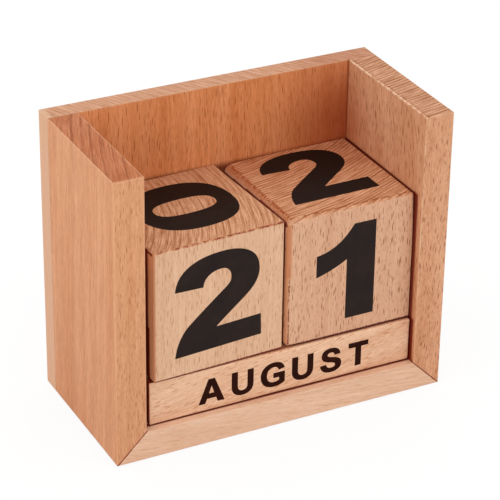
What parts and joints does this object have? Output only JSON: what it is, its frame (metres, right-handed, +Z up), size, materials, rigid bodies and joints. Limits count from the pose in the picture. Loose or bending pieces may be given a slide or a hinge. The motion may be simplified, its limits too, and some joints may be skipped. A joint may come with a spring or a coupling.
{
  "type": "perpetual desk calendar",
  "caption": "Wooden perpetual desk calendar: an open-fronted tray of mitred boards in which number cubes stand on a row of square month bars; every block lifts or slides out.",
  "frame": {"origin": "centre of the tray's footprint, on the surface it stands on", "axes": "+X to the right as the date is read, +Y towards the back panel, +Z up"},
  "size_m": [0.1, 0.049, 0.0848],
  "materials": {
    "side_beech": "sanded beech, thin satin oil, upright grain",
    "base_beech": "sanded pale beech, grain left to right",
    "back_beech": "sanded reddish beech, upright grain",
    "cube_beech": "sanded beech, eased edges, end grain on top",
    "bar_beech": "sanded pale beech, grain along the bar",
    "block_print": "black-brown printing ink, thin, slight sheen"
  },
  "bodies": {
    "tray": {"base_board": "base_beech", "left_side": "side_beech", "right_side": "side_beech", "back_panel": "back_beech"},
    "tens_cube": {"tens_cube": "cube_beech"},
    "units_cube": {"units_cube": "cube_beech"},
    "month_bar_rear": {"month_bar_rear": "bar_beech"},
    "month_bar_middle": {"month_bar_middle": "bar_beech"},
    "month_bar_front": {"month_bar_front": "bar_beech"}
  },
  "joints": [
    {"name": "tens_cube_lift", "type": "slide", "parent": "tray", "child": "tens_cube", "axis": [0, 0, 1], "range_m": [0, 0.068]},
    {"name": "units_cube_lift", "type": "slide", "parent": "tray", "child": "units_cube", "axis": [0, 0, 1], "range_m": [0, 0.068]},
    {"name": "rear_bar_draw", "type": "slide", "parent": "tray", "child": "month_bar_rear", "axis": [0, -1, 0], "range_m": [0, 0.046]},
    {"name": "middle_bar_draw", "type": "slide", "parent": "month_bar_rear", "child": "month_bar_middle", "axis": [0, -1, 0], "range_m": [0, 0.033]},
    {"name": "front_bar_draw", "type": "slide", "parent": "month_bar_middle", "child": "month_bar_front", "axis": [0, -1, 0], "range_m": [0, 0.02]}
  ]
}
